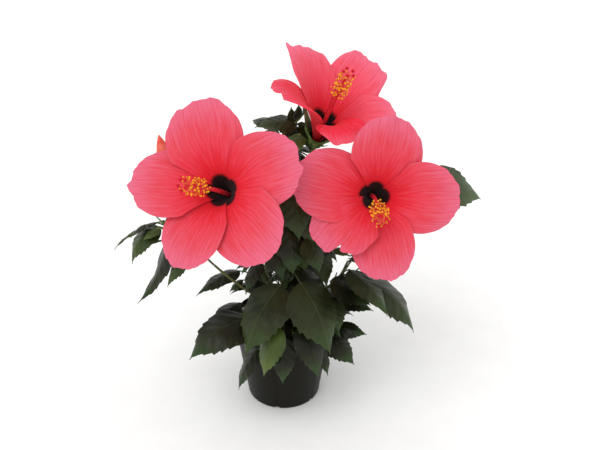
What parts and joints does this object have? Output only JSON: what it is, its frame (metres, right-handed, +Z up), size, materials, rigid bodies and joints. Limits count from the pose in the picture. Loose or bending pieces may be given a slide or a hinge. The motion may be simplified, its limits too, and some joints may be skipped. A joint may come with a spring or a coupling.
{
  "type": "potted hibiscus shrub",
  "caption": "Potted flowering shrub with wide open blooms, closed buds and glossy toothed leaves on upright branching stems.",
  "frame": {"origin": "centre of the pot's flat underside, at floor level", "axes": "+Z up along the pot's axis, -Y towards the front that the picture shows, +X to the right in the picture"},
  "size_m": [0.3569, 0.2439, 0.3838],
  "materials": {
    "pot": "satin moulded plastic",
    "soil": "rough, loose compost",
    "bark": "rough bark",
    "shoot": "satin green shoot",
    "leaf": "glossy leaf",
    "petal": "soft satin petal",
    "bud": "soft satin bud",
    "column": "soft, matt",
    "anther": "powdery, matt",
    "calyx": "satin green cup"
  },
  "bodies": {
    "root": {"pot": "pot", "potting_soil": "soil", "trunk": "bark", "bough_centre": "shoot", "bough_left": "shoot", "bough_left_bloom": "shoot", "bough_right_bloom": "shoot", "bough_right_low": "shoot", "bough_back_left": "shoot", "bough_back_right": "shoot", "bough_back": "shoot", "bloom_left": "petal", "bloom_right": "petal", "bloom_top": "petal", "bud_left": "bud", "bud_back": "bud", "foliage_front_low": "leaf", "foliage_front_mid": "leaf", "foliage_left_low": "leaf", "foliage_right_low": "leaf", "foliage_left_mid": "leaf", "foliage_right_mid": "leaf", "foliage_far_left": "leaf", "foliage_centre": "leaf", "foliage_left_high": "leaf", "foliage_right_high": "leaf", "foliage_top": "leaf", "foliage_back_low": "leaf", "foliage_back_left": "leaf", "foliage_back_right": "leaf", "foliage_back_high": "leaf"}
  },
  "joints": []
}
